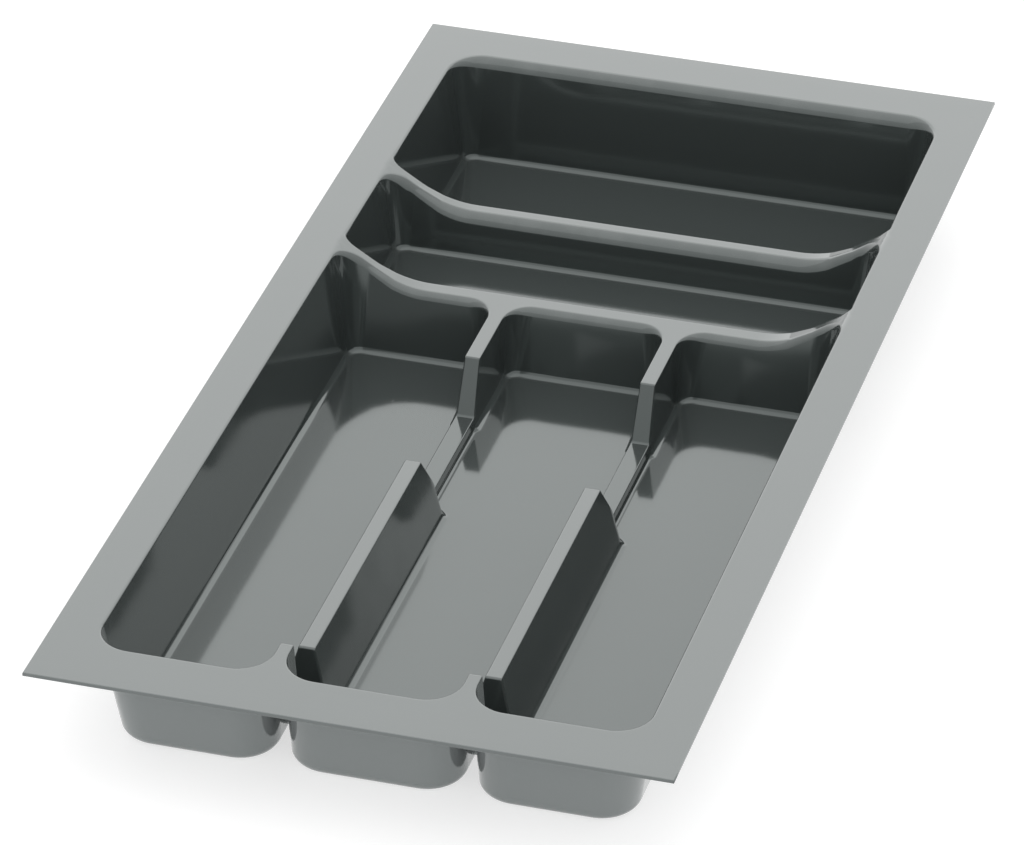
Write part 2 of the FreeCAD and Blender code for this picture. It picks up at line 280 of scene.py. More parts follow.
def rib_foot(y):
    """Floor rounding along the rib: smaller beside the saddle, with smooth steps at its ends."""
    low = smooth((y - SADDLE_FRONT) / SADDLE_FADE) * smooth((SADDLE_BACK - y) / SADDLE_FADE)
    return FLOOR_ROUND + (SADDLE_ROUND - FLOOR_ROUND) * low


print(f"side lean on the ridge {rib_lean(RIDGE_START):.3f}, beside the saddle {rib_lean(SADDLE_BACK):.3f}")

# %% [markdown]
# ## One column of the sheet
# Every well is a closed ring of columns. A column starts on the well's floor, bends up through the floor
# rounding, climbs the leaning wall, bends over the lip and runs out over the land beside the well: the rim,
# a crest or a rib. A lofted mesh or a bevel could round such edges too, but a column is a plain formula,
# its rows lie exactly along the edges that catch the light, and both sides of the sheet come from it.

# %% Wall with a rounded foot
Wall = namedtuple("Wall", "lean stretch grow centre_in centre_depth radius")
FLOOR_STEPS, WALL_STEPS, LIP_STEPS, LAND_STEPS = 10, 3, 7, 4
FLOOR_BORDER = 1.0 * MM
LIP_WEIGHT = 0.74


def wall_with_foot(lean, depth, floor_round, grow):
    """Leaning wall and its tangent floor arc, for a sheet surface that lies grow further out.

    The arc's centre is the floor rounding above the floor, and in from the wall by the rounding times the
    stretch of the leaning wall, the root of one plus the lean squared.
    """
    stretch = np.sqrt(1 + lean**2)
    centre_depth = depth - floor_round
    centre_in = lean * centre_depth + floor_round * stretch
    return Wall(lean, stretch, grow, centre_in, centre_depth, floor_round + grow)


def wall_reach(wall, depth):
    """Distance in from the mouth at a depth: lean times depth, and further down the floor arc."""
    tangent_depth = wall.centre_depth + wall.radius * wall.lean / wall.stretch
    arc = wall.centre_in - np.sqrt(np.maximum(wall.radius**2 - (depth - wall.centre_depth) ** 2, 0))
    return np.where(depth <= tangent_depth, wall.lean * depth - wall.grow * wall.stretch, arc)


side_wall = wall_with_foot(LEANS["side rim"], DEEP, FLOOR_ROUND, 0.0)
print(f"a side wall comes in by {float(wall_reach(side_wall, DEEP)) / MM:.2f} mm at the floor")


# %% Rows of the columns
def column_rows(foot, inward, slide, wall, lip_points, land_end, land):
    """Rows of points for many columns, as an array of rows by columns by three.

    A point of the foot or the wall is the mouth's point, plus its reach inwards, plus the slide for its
    depth. The lip is a conic between its point on the wall and its point on the land, drawn to the sharp
    edge between them. Land rows run straight to the land's end, at the depth that the land has there.
    """
    def at(reach, depth):
        level = foot + inward * reach[..., None] + slide * depth[..., None]
        return np.concatenate([level, TOP - depth[..., None]], axis=-1)

    on_wall, edge, on_land = lip_points
    lip_depth = TOP - on_wall[:, 2]
    cut = np.clip((lip_depth - wall.centre_depth) / wall.radius, -1, 1)
    sweep = np.minimum(np.pi / 2 - np.arctan(wall.lean), np.arccos(cut))
    bend = np.linspace(0, 1, FLOOR_STEPS + 1)[:, None] * sweep
    arc_in = wall.centre_in - wall.radius * np.sin(bend)
    arc_depth = wall.centre_depth + wall.radius * np.cos(bend)
    floor = at(wall.centre_in + FLOOR_BORDER, arc_depth[0])[None]
    climb = np.linspace(0, 1, WALL_STEPS + 1)[1:, None]
    wall_depth = arc_depth[-1] + (lip_depth - arc_depth[-1]) * climb
    wall_in = arc_in[-1] + (wall_reach(wall, lip_depth) - arc_in[-1]) * climb
    share = np.linspace(0, 1, LIP_STEPS + 1)[1:, None, None]
    blend = [(1 - share) ** 2, 2 * LIP_WEIGHT * share * (1 - share), share**2]
    lip = sum(weight * point for weight, point in zip(blend, lip_points)) / sum(blend)
    out = np.linspace(0, 1, LAND_STEPS + 1)[1:, None, None]
    shore = on_land + (land_end - on_land) * out
    if land:
        shore[..., 2] = TOP - land(shore)
    return np.concatenate([floor, at(arc_in, arc_depth), at(wall_in, wall_depth), lip, shore])


ROWS = 1 + (FLOOR_STEPS + 1) + WALL_STEPS + LIP_STEPS + LAND_STEPS
print("rows in a column:", ROWS)


# %% Columns beside level or dipped land
SOLVE_STEPS = 8
PROBE = 0.05 * MM
LIP_ROOM_SHARE = 0.9


def land_below(crest_y, grow):
    """The land's depth as a function of points, for a surface that lies grow below, square to its slope."""
    def depth(points):
        if crest_y is None:
            return np.full(points.shape[:-1], grow)
        step = np.zeros(points.shape[-1])
        step[0] = PROBE
        slope = (crest_land(points + step, crest_y) - crest_land(points - step, crest_y)) / (2 * PROBE)
        return crest_land(points, crest_y) + grow * np.sqrt(1 + slope**2)
    return depth


def land_columns(mouth, inward, lean, depth, lip, land_end, crest_y, grow):
    """Columns whose land is the rim or a crest.

    The sharp edge is where the wall's depth equals the land's depth, found by putting the one into the
    other a few times. The lip starts that far down the wall and ends that far out on the land, or nearer
    where the land is narrow.
    """
    along = np.sum(lean * inward, axis=1)
    slide = lean - inward * along[:, None]
    wall = wall_with_foot(along, depth, FLOOR_ROUND, grow)
    land = land_below(crest_y, grow)

    def level(reach, at_depth):
        return mouth + inward * reach[:, None] + slide * at_depth[:, None]

    edge_depth = land(mouth)
    for _ in range(SOLVE_STEPS):
        edge_depth = land(level(wall_reach(wall, edge_depth), edge_depth))
    edge = level(wall_reach(wall, edge_depth), edge_depth)
    room = np.linalg.norm(land_end - edge, axis=1)
    lip = np.minimum(np.maximum(lip - grow, LEAST_ROUND), LIP_ROOM_SHARE * room)
    wall_depth = edge_depth + lip
    shore = edge - inward * lip[:, None]
    lip_points = [np.column_stack([level(wall_reach(wall, wall_depth), wall_depth), TOP - wall_depth]),
                  np.column_stack([edge, TOP - edge_depth]),
                  np.column_stack([shore, TOP - land(shore)])]
    end = np.column_stack([land_end, TOP - land(land_end)])
    return column_rows(mouth, inward, slide, wall, lip_points, end, land)


crest_middle = np.array([[0, FRONT_CREST_Y]])
print("lower side under a crest's middle, mm:", land_below(FRONT_CREST_Y, WALL)(crest_middle) / MM)


# %% [markdown]
# ## Sides and corners of a well
# Seen from above, a well's mouth is a rectangle with round corners, which are tight behind a crest. The
# corners at a well's back get tighter towards the floor. Straight sides need few columns, except where a
# crest dips. In a corner the columns fan out from a point inside it to the corner of the land that belongs
# to the well, so that neighbouring wells share their outermost points and can be welded. A rib's side has
# one column for each point of its outline.

# %% Sides of a well
Side = namedtuple("Side", "kind edge end lean lip stations")
OUTWARD = np.array([(0, -1), (1, 0), (0, 1), (-1, 0)], float)
BACK_CORNERS = (1, 2)
CORNER_STEPS = 12


def straight_columns(well, number, grow):
    """Columns of one straight side, square to it, at the side's stations."""
    side = well["sides"][number]
    out = OUTWARD[number]
    across = np.array([abs(out[1]), abs(out[0])])
    place = np.outer(side.stations, across)
    mouth = place + np.abs(out) * side.edge
    land_end = place + np.abs(out) * side.end
    ones = np.ones(len(place))
    inward = -np.outer(ones, out)
    crest_y = side.end if side.kind.startswith("crest") else None
    return land_columns(mouth, inward, inward * side.lean, well["depth"], side.lip * ones, land_end, crest_y,
                        grow)


def fan(room, radius):
    """Rays of a corner in its own axes: their ends, mouth points and outward normals of the mouth there.

    The ends run along one side's land to the corner and back along the other's, closer together towards
    the corner, by the sine of an even angle. The mouth is a square corner with an arc: a ray meets the arc
    where its distance is the arc's centre along the ray, plus the root of the radius squared less the
    centre's squared distance from the ray. It meets a straight edge elsewhere.
    """
    share = np.sin(np.linspace(0, np.pi / 2, CORNER_STEPS + 1))[:, None]
    ones = np.ones_like(share)
    ends = np.concatenate([np.hstack([ones, share])[:-1], np.hstack([share, ones])[::-1]]) * room
    ray = ends / np.linalg.norm(ends, axis=1, keepdims=True)
    centre = MOUTH_CORNER - radius
    along = centre * ray.sum(axis=1, keepdims=True)
    on_arc = ray * (along + np.sqrt(np.maximum(radius**2 - 2 * centre**2 + along**2, 0)))
    on_edge = ray * MOUTH_CORNER / ray.max(axis=1, keepdims=True)
    mouth = np.where(on_arc.min(axis=1, keepdims=True) < centre, on_edge, on_arc)
    normal = np.maximum(mouth - centre, 0)
    return ends, mouth, normal / np.linalg.norm(normal, axis=1, keepdims=True)


def corner_columns(well, number, grow):
    """Columns of the corner after a side, on the rays of a fan; the lip changes with the ray's angle.

    A corner at a well's back gets tighter with depth, down to the floor's own corner: each unit of depth
    moves a column out by the lost share of the radius, times the square corner's direction less the
    mouth's normal.
    """
    here, after = well["sides"][number], well["sides"][(number + 1) % 4]
    axes = OUTWARD[[number, (number + 1) % 4]]
    signs = axes.sum(axis=1)
    edges, land_ends = np.array([here.edge, after.edge]), np.array([here.end, after.end])
    centre = (edges * signs - MOUTH_CORNER) @ axes
    radius = CREST_CORNER if "crest back" in (here.kind, after.kind) else MOUTH_CORNER
    ends, mouth, normal = fan((land_ends - edges) * signs + MOUTH_CORNER, radius)
    tighter = (radius - FLOOR_CORNER) / well["depth"] if number in BACK_CORNERS else 0.0
    lean = (tighter * (1 - normal) - np.array([here.lean, after.lean])) @ axes
    turned = np.arctan2(ends[:, 1], ends[:, 0]) / (np.pi / 2)
    lip = here.lip + (after.lip - here.lip) * smooth(turned)
    crests = [side.end for side in (here, after) if side.kind.startswith("crest")]
    return land_columns(centre + mouth @ axes, -normal @ axes, lean, well["depth"], lip, centre + ends @ axes,
                        crests[0] if crests else None, grow)


print("columns in a corner:", len(fan(np.full(2, MOUTH_CORNER + MOUTH_INSET), MOUTH_CORNER)[0]))


# %% Sides along a rib
RIB_LIP_SHARE = 0.75


def rib_columns(well, number, grow):
    """Columns of a side along a rib, one for each point of the rib's outline.

    Half the rib's width at a depth is its width at crest level plus the lean times the depth below that
    level. The lip starts square to the outline, and is wider on the steep ends than along the tops.
    """
    side = well["sides"][number]
    sign = -OUTWARD[number][0]
    outline, normal = rib_outline(grow)
    if sign > 0:
        outline, normal = outline[::-1], normal[::-1]
    steep = smooth(np.abs(normal[:, 0]))
    lip = np.maximum(side.lip + (LIPS["rib end"] - side.lip) * steep - grow, LEAST_ROUND * RIB_LIP_SHARE)
    lowered = outline + lip[:, None] * normal
    lean = rib_lean(lowered[:, 0])
    wall = wall_with_foot(lean, well["depth"], rib_foot(lowered[:, 0]), grow)
    mouth_x = side.end + sign * (RIB_HALF - CREST_DIP * lean)
    inward = np.outer(np.ones(len(lean)), -OUTWARD[number])
    edge_x = mouth_x + sign * wall_reach(wall, -outline[:, 1])
    wall_x = mouth_x + sign * wall_reach(wall, -lowered[:, 1])
    height = TOP + outline[:, 1]
    lip_points = [np.column_stack([wall_x, lowered[:, 0], TOP + lowered[:, 1]]),
                  np.column_stack([edge_x, outline[:, 0], height]),
                  np.column_stack([edge_x - sign * lip, outline[:, 0], height])]
    end = np.column_stack([np.full(len(height), side.end), outline[:, 0], height])
    return column_rows(np.column_stack([mouth_x, lowered[:, 0]]), inward, 0 * inward, wall, lip_points, end,
                       None)


def well_ring(well, grow):
    """All columns of a well in one ring, counter-clockwise from above: side, corner, side, corner."""
    parts = []
    for number, side in enumerate(well["sides"]):
        make = rib_columns if side.kind == "rib" else straight_columns
        parts += [make(well, number, grow), corner_columns(well, number, grow)]
    return np.concatenate(parts, axis=1)


print(f"a ridge is {2 * (RIB_HALF + (DEEP - CREST_DIP) * LEANS['ridge']) / MM:.1f} mm wide at floor level")

# %% [markdown]
# ## The five wells
# The rear and middle wells run right across the tray, and the three front wells lie side by side between
# the ribs. Along a divider both neighbours need columns at the same places, so the middle well takes its
# stations from the front wells that are already there.

# %% Stations and sides of the five wells
STATION_GAP = 14.0 * MM
CORNER_ROOM = 14.0 * MM
DIP_STATIONS = np.linspace(77.5, 62, 13) * MM


def stations(low, high):
    """Evenly spaced stations between two corners, clear of the corners' own columns down to the floor."""
    low, high = low + MOUTH_CORNER + CORNER_ROOM, high - MOUTH_CORNER - CORNER_ROOM
    return np.linspace(low, high, int((high - low) / STATION_GAP) + 2)


def well_of(name, x_sides, y_sides, depth):
    """A well from its left and right side and its front and back side, with sides in ring order."""
    left, right = x_sides
    front, back = y_sides
    sides = [front, right, back._replace(stations=back.stations[::-1]),
             left._replace(stations=left.stations[::-1])]
    return {"name": name, "sides": sides, "depth": depth}


def rim_side(sign, front, back):
    """A long side beside the left or right rim."""
    return Side("rim", sign * MOUTH_X, sign * RIM_X, LEANS["side rim"], LIPS["side rim"],
                stations(front, back))


def crest_edge(crest_y, name):
    """Where a divider's wall would meet rim level: half a crest out, and back by its lean over the dip."""
    sign = 1 if name == "crest back" else -1
    return crest_y + sign * (CREST_HALF - CREST_DIP * LEANS[name])


def crest_side(crest_y, name, places):
    """A side along a cross divider, on its front or its back."""
    kind = name if name == "crest back" else "crest front"
    return Side(kind, crest_edge(crest_y, name), crest_y, LEANS[name], LIPS[name], places)


def rib_side(rib_x, sign):
    """A side along a rib: sign is plus for the rib's right wall."""
    return Side("rib", rib_x + sign * RIB_TOP_HALF, rib_x, LEANS["rib"], LIPS["rib"], np.zeros(1))


print("columns on a long front side:", len(stations(-MOUTH_Y, crest_edge(FRONT_CREST_Y, "front crest"))))

# %% Front wells
FRONT_BACK = crest_edge(FRONT_CREST_Y, "front crest")
OUTER_STATIONS = np.concatenate([-DIP_STATIONS, np.array([-58.0, -54.5]) * MM])
CENTRE_STATIONS = np.linspace(-12.5, 12.5, 5) * MM
SHARED_REACH = 81.0 * MM
PLACE_DIGITS = 9


def front_well(name, left, right, places):
    """A front well between its left and right side, with the given stations across the tray."""
    front = Side("rim", -MOUTH_Y, -FLANGE_Y, LEANS["front rim"], LIPS["front rim"], places)
    return well_of(name, (left, right), (front, crest_side(FRONT_CREST_Y, "front crest", places)), DEEP)


left_rim_side = rim_side(-1, -MOUTH_Y, FRONT_BACK)
right_rim_side = rim_side(1, -MOUTH_Y, FRONT_BACK)
wells = [
    front_well("left", left_rim_side, rib_side(-RIB_X, -1), OUTER_STATIONS),
    front_well("centre", rib_side(-RIB_X, 1), rib_side(RIB_X, -1), CENTRE_STATIONS),
    front_well("right", rib_side(RIB_X, 1), right_rim_side, -OUTER_STATIONS[::-1])]
front_ends = np.concatenate([well_ring(well, 0.0)[-1] for well in wells])
on_crest = np.abs(front_ends[:, 1] - FRONT_CREST_Y) < PROBE
on_crest &= np.abs(front_ends[:, 0]) < SHARED_REACH
SHARED_STATIONS = np.unique(front_ends[on_crest, 0].round(PLACE_DIGITS))
print("columns that the front wells share with the middle well:", len(SHARED_STATIONS))

# %% Middle and rear wells
REAR_STATIONS = np.concatenate([-DIP_STATIONS, np.linspace(-50, 50, 8) * MM, DIP_STATIONS[::-1]])
MIDDLE_ENDS = (crest_edge(FRONT_CREST_Y, "crest back"), crest_edge(REAR_CREST_Y, "rear crest"))
REAR_FRONT = crest_edge(REAR_CREST_Y, "crest back")
back_rim_side = Side("rim", MOUTH_Y, FLANGE_Y, LEANS["back rim"], LIPS["back rim"], REAR_STATIONS)
wells += [
    well_of("middle", (rim_side(-1, *MIDDLE_ENDS), rim_side(1, *MIDDLE_ENDS)),
            (crest_side(FRONT_CREST_Y, "crest back", SHARED_STATIONS),
             crest_side(REAR_CREST_Y, "rear crest", REAR_STATIONS)), SHALLOW),
    well_of("rear", (rim_side(-1, REAR_FRONT, MOUTH_Y), rim_side(1, REAR_FRONT, MOUTH_Y)),
            (crest_side(REAR_CREST_Y, "crest back", REAR_STATIONS), back_rim_side), DEEP)]
print("wells:", {well["name"]: well_ring(well, 0.0).shape[:2] for well in wells})

# %% [markdown]
# ## The rim
# The rim is flat, so four plain grids are enough. Their inner edges use the wells' own outermost points.
# The cut edge of the sheet is a ring of small arcs, because a perfectly sharp edge never catches the light.

# %% Rim grids and the cut edge
EDGE_ROUND = 0.3 * MM
EDGE_STEPS = 3
# The cut edge's middle rows take half the paler lower-side colour, and its last row all of it. This is
# painted light, for the light that the floor throws on the edge.
CUT_PAINTED_LIGHT_SHARE = 0.5
CUT_PAINTED_LIGHT = np.r_[0, np.full(2 * EDGE_STEPS, CUT_PAINTED_LIGHT_SHARE), 1]
RIM_STEPS = 3


def rim_lines(ends):
    """Sorted places across and along the tray where the wells' outermost points meet the rim."""
    on_side = np.abs(np.abs(ends[:, 0]) - RIM_X) < PROBE
    on_end = np.abs(np.abs(ends[:, 1]) - FLANGE_Y) < PROBE
    return ends[on_side], ends[on_end]


def flat_grid(xs, ys, height):
    """Level grid of points: every x with every y at one height."""
    x, y = np.meshgrid(xs, ys, indexing="ij")
    return np.stack([x, y, np.full_like(x, height)], axis=-1)


def cut_edge(front_xs, back_xs, ys):
    """Ring of rows round the sheet's cut edge, from the rim's upper side out and down to its lower side.

    Each row lies further out by the edge's rounding times the sine of an angle, and lower by the rounding
    times one less its cosine; the lower half mirrors the upper.
    """
    front = np.column_stack([front_xs, np.full_like(front_xs, ys[0])])
    right = np.column_stack([np.full_like(ys, front_xs[-1]), ys])
    back = np.column_stack([back_xs[::-1], np.full_like(back_xs, ys[-1])])
    left = np.column_stack([np.full_like(ys, front_xs[0]), ys[::-1]])
    ring = np.concatenate([front[:-1], right[:-1], back[:-1], left[:-1]])
    out = np.sign(np.where(np.isclose(np.abs(ring), np.abs([front_xs[0], ys[0]])), ring, 0))
    angle = np.linspace(0, np.pi / 2, EDGE_STEPS + 1)
    reach = EDGE_ROUND * np.sin(angle)
    drop = EDGE_ROUND * (1 - np.cos(angle))
    reach, height = np.r_[reach, reach[::-1]], TOP - np.r_[drop, WALL - drop[::-1]]
    level = ring[None] + out[None] * reach[:, None, None]
    return np.concatenate([level, np.broadcast_to(height[:, None, None], level.shape[:2] + (1,))], axis=-1)


print("rows round the cut edge:", len(CUT_PAINTED_LIGHT))

# %% [markdown]
# ## One closed sheet
# All rings, floors and rim grids now become one mesh. The upper and the lower side have the same rows and
# columns, so the lower side only turns its faces over. Blender welds the shared points. Smooth shading
# normally weighs every face at a point alike, which makes large flat faces look dented beside small round
# ones, so the normals are worked out here and weighed by area.

# %% Points and faces of both sides
def grid_faces(rows, columns, start, closed):
    """Quads of a grid whose points are numbered row by row from start; a closed grid joins its ends."""
    row, column = np.meshgrid(np.arange(rows - 1), np.arange(columns - (not closed)), indexing="ij")
    beside = (column + 1) % columns
    corners = [row * columns + column, (row + 1) * columns + column,
               (row + 1) * columns + beside, row * columns + beside]
    return start + np.stack(corners, axis=-1).reshape(-1, 4)


def lip_share(rows):
    """How much each row of a column lies on the lip: a smooth hump over the lip's rows, 0 elsewhere."""
    first = 1 + (FLOOR_STEPS + 1) + WALL_STEPS
    place = (np.arange(rows) - first + 1) / LIP_STEPS
    return np.where((place > 0) & (place < 1), np.sin(np.pi * place), 0)


print("lip shares of a column's rows:", lip_share(ROWS).round(2))

# %% One list for all surfaces
points, faces, edge_share, drawn_share, painted_light_share = [], [], [], [], []


def add_surface(grid, closed, turned, share=0.0, pale=0.0):
    """Adds one grid of points to the sheet, with its faces turned over on the lower side.

    The share and the pale share, one for all rows or one for each, say how far a row lies on a lip and how
    far it takes the paler colour that is painted light on the lower side and the cut edge. A point of the
    upper side is drawn by its depth below the crests, as a smooth share of the deepest.
    """
    start = sum(len(block) for block in points)
    rows, columns = grid.shape[:2]
    drawn = smooth((TOP - grid[..., 2] - CREST_DIP) / (DEEP - CREST_DIP))
    quads = grid_faces(rows, columns, start, closed)
    points.append(grid.reshape(-1, 3))
    faces.extend((quads[:, ::-1] if turned else quads).tolist())
    edge_share.append(np.broadcast_to(np.reshape(share, (-1, 1)), (rows, columns)).ravel())
    drawn_share.append(drawn.ravel() * (not turned))
    painted_light_share.append(np.broadcast_to(np.reshape(pale, (-1, 1)), (rows, columns)).ravel())
    return start, columns


# On the lower side every point gets a share of 1 for the paler colour that is painted light from the floor.
for grow, turned in ((0.0, False), (WALL, True)):
    height = TOP - grow
    ends = []
    for well in wells:
        ring = well_ring(well, grow)
        start, columns = add_surface(ring, True, turned, 0.0 if turned else lip_share(ROWS), float(turned))
        floor = np.arange(start, start + columns)
        faces.append((floor[::-1] if turned else floor).tolist())
        ends.append(ring[-1])
    on_side, on_end = rim_lines(np.concatenate(ends))
    side_ys = np.unique(on_side[:, 1].round(PLACE_DIGITS))
    front_xs = np.unique(on_end[on_end[:, 1] < 0, 0].round(PLACE_DIGITS))
    back_xs = np.unique(on_end[on_end[:, 1] > 0, 0].round(PLACE_DIGITS))
    flange_y = np.linspace(FLANGE_Y, HALF_LENGTH - EDGE_ROUND, RIM_STEPS + 1)
    flange_x = np.linspace(RIM_X, HALF_WIDTH - EDGE_ROUND, RIM_STEPS + 1)
    rim_ys = np.concatenate([-flange_y[:0:-1], side_ys, flange_y[1:]])
    for xs, ys in ((flange_x, rim_ys), (-flange_x[::-1], rim_ys), (front_xs, -flange_y[::-1]),
                   (back_xs, flange_y)):
        add_surface(flat_grid(xs, ys, height), False, turned, pale=float(turned))

front_edge = np.concatenate([-flange_x[:0:-1], front_xs, flange_x[1:]])
back_edge = np.concatenate([-flange_x[:0:-1], back_xs, flange_x[1:]])
add_surface(cut_edge(front_edge, back_edge, rim_ys), True, False, pale=CUT_PAINTED_LIGHT)
print("grid points:", sum(len(block) for block in points), "faces:", len(faces))

# %% Welding the sheet
WELD = 0.002 * MM
CM = 10 * MM
sheet = bpy.data.meshes.new("tray sheet")
sheet.from_pydata(np.concatenate(points).tolist(), [], faces)
# One attribute holds how far each point takes the paler colour that is painted light on the lower side and
# the cut edge.
for name, shares in (("edge_share", edge_share), ("drawn_share", drawn_share), ("painted_light_share", painted_light_share)):
    sheet.attributes.new(name, "FLOAT", "POINT").data.foreach_set("value", np.concatenate(shares))
bm = bmesh.new()
bm.from_mesh(sheet)
bmesh.ops.remove_doubles(bm, verts=bm.verts, dist=WELD)
open_edges = sum(not edge.is_manifold for edge in bm.edges)
print("welded points:", len(bm.verts), "open edges:", open_edges,
      f"plastic: {bm.calc_volume() / CM**3:.1f} cm3")
bm.to_mesh(sheet)
bm.free()


# %% Normals weighed by area
def read(collection, name, kind, width=1):
    """One property of every item in a Blender collection, as an array."""
    values = np.empty(len(collection) * width, kind)
    collection.foreach_get(name, values)
    return values.reshape(-1, width) if width > 1 else values


def area_normals(mesh):
    """Normal of every point: the sum of its faces' normals, each times its area, brought to length 1."""
    face_normal = read(mesh.polygons, "normal", np.float32, 3)
    face_area = read(mesh.polygons, "area", np.float32)
    face_of_corner = np.repeat(np.arange(len(mesh.polygons)), read(mesh.polygons, "loop_total", np.int32))
    weighed = (face_normal * face_area[:, None])[face_of_corner]
    total = np.zeros((len(mesh.vertices), 3))
    np.add.at(total, read(mesh.loops, "vertex_index", np.int32), weighed)
    return total / np.linalg.norm(total, axis=1, keepdims=True)


normals = area_normals(sheet)
sheet.attributes.new("sheet_normal", "FLOAT_VECTOR", "POINT").data.foreach_set("vector", normals.ravel())
print("normals:", len(normals), "mean height of a normal:", normals[:, 2].mean().round(3))

# %% [markdown]
# ## The tray's regions
# The real tray is one piece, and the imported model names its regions: rims, wells, dividers and the
# stretches of each rib. Each region's box tells the upright planes between it and its neighbours. A copy of
# the sheet is cut on those planes, and each cut is closed with one face. Every region keeps the whole
# sheet's normals, so no seam shows where two regions meet.

# %% Cutting the sheet
def cut_region(node):
    """Mesh of one region: the sheet between the upright planes of the node's box, with closed cuts."""
    bm = bmesh.new()
    bm.from_mesh(sheet)
    cut_mark = bm.faces.layers.int.new("cut_face")
    for axis, outer in enumerate((HALF_WIDTH, HALF_LENGTH)):
        for corner, sign in zip(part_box(node), (-1, 1)):
            if abs(abs(corner[axis]) - outer) < PROBE:
                continue
            facing, place = Vector((0, 0, 0)), Vector((0, 0, 0))
            facing[axis], place[axis] = sign, corner[axis]
            bmesh.ops.bisect_plane(bm, geom=bm.verts[:] + bm.edges[:] + bm.faces[:], dist=WELD,
                                   plane_co=place, plane_no=facing, clear_outer=True)
            open_edges = [edge for edge in bm.edges if edge.is_boundary]
            for face in bmesh.ops.holes_fill(bm, edges=open_edges, sides=0)["faces"]:
                face[cut_mark] = 1
    bmesh.ops.recalc_face_normals(bm, faces=[face for face in bm.faces if face[cut_mark]])
    mesh = bpy.data.meshes.new(f"{node} moulding")
    bm.to_mesh(mesh)
    bm.free()
    return mesh


def keep_sheet_normals(mesh):
    """Gives a region the whole sheet's normals, and its cuts their own flat ones."""
    mesh.shade_smooth()
    own = read(mesh.attributes["sheet_normal"].data, "vector", np.float32, 3)
    own = own / np.maximum(np.linalg.norm(own, axis=1, keepdims=True), WELD)
    corner_normal = own[read(mesh.loops, "vertex_index", np.int32)]
    sizes = read(mesh.polygons, "loop_total", np.int32)
    flat = np.repeat(read(mesh.polygons, "normal", np.float32, 3), sizes, axis=0)
    on_cut = np.repeat(read(mesh.attributes["cut_face"].data, "value", np.int32), sizes) > 0
    mesh.normals_split_custom_set(np.where(on_cut[:, None], flat, corner_normal).tolist())


rear_corners = [[round(value / MM, 2) for value in corner[:2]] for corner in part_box("rear_well")]
print("the rear well is cut between these corners, mm:", rear_corners)

# %% One piece for each region
pieces = []
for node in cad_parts:
    mesh = cut_region(node)
    keep_sheet_normals(mesh)
    piece = bpy.data.objects.new(f"{node}_moulding", mesh)
    bpy.context.scene.collection.objects.link(piece)
    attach(piece, "root")
    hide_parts(node)
    pieces.append(piece)
print("pieces:", len(pieces), "faces:", sum(len(piece.data.polygons) for piece in pieces))

# %% [markdown]
# ## The plastic
# The sheet is a dark grey plastic with a high gloss. Its own colour hardly shows: it looks pale where it
# mirrors the bright studio, and dark where it mirrors its own walls. A paint of one grey could never do
# both, so the base colour is dark and the mirror does the rest. Plastic has a refractive index of about 1.5,
# which mirrors little unless the lamps are strong. Here the light stays plain, so the index is higher than
# real, and level places have a clear coat. These values are set to match the real tray's look, and the coat
# gets weaker with the depth of the well. The lower side and the cut edge are painted paler: painted light
# for the light that the white floor throws on the outer walls. Point attributes tell the shader where each
# of these holds.
#
# Three mild effects, added so that the surface isn't too perfect, are node groups: moulding waves with a
# fine grain, the rubbing of hands on the edges, and a little dust on level places. The groups only give
# masks and values; the shader stays in the material. All of them read Object coordinates, so they run on
# across the regions.

# %% Node helpers
def new_group(name, inputs, outputs):
    """An empty shader node group with its sockets, given as pairs of a name and a socket type."""
    group = bpy.data.node_groups.new(name, "ShaderNodeTree")
    for label, kind in inputs:
        group.interface.new_socket(label, in_out="INPUT", socket_type=kind)
    for label, kind in outputs:
        group.interface.new_socket(label, in_out="OUTPUT", socket_type=kind)
    return group, group.nodes.new("NodeGroupInput").outputs, group.nodes.new("NodeGroupOutput").inputs


def add_node(tree, kind, links=(), **values):
    """A node with its settings, and its inputs by name: a value, or an output to link from."""
    node = tree.nodes.new(kind)
    for name, value in values.items():
        setattr(node, name, value)
    for socket, source in dict(links).items():
        if isinstance(source, bpy.types.NodeSocket):
            tree.links.new(source, node.inputs[socket])
        else:
            node.inputs[socket].default_value = source
    return node


def noise(tree, vector, scale, detail):
    """Value of a soft cloud noise at a scale given in cells for each metre."""
    links = {"Vector": vector, "Scale": scale, "Detail": detail}
    return add_node(tree, "ShaderNodeTexNoise", links).outputs["Fac"]


def remap(tree, value, low, high):
    """Value stretched so that low becomes 0 and high becomes 1, with a smooth step between."""
    links = {"Value": value, "From Min": low, "From Max": high}
    return add_node(tree, "ShaderNodeMapRange", links, interpolation_type="SMOOTHSTEP").outputs["Result"]


def maths(tree, operation, first, second):
    """One arithmetic node on two values or outputs."""
    return add_node(tree, "ShaderNodeMath", {0: first, 1: second}, operation=operation).outputs["Value"]


# %% Shared effects
COORDS, VALUE = "NodeSocketVector", "NodeSocketFloat"
grain_outputs = [("Height", VALUE), ("Cloud", VALUE)]
FINE_SHARE = 0.02
grain, inputs, outputs = new_group("moulding grain", [("Place", COORDS)], grain_outputs)
fine = maths(grain, "MULTIPLY", noise(grain, inputs["Place"], scale=2600.0, detail=2.0), FINE_SHARE)
waves = noise(grain, inputs["Place"], scale=38.0, detail=1.0)
grain.links.new(maths(grain, "ADD", waves, fine), outputs["Height"])
grain.links.new(noise(grain, inputs["Place"], scale=45.0, detail=3.0), outputs["Cloud"])

wear, inputs, outputs = new_group("rubbed edges", [("Place", COORDS), ("Edge", VALUE)], [("Mask", VALUE)])
patches = remap(wear, noise(wear, inputs["Place"], scale=90.0, detail=4.0), low=0.42, high=0.68)
wear.links.new(maths(wear, "MULTIPLY", patches, inputs["Edge"]), outputs["Mask"])

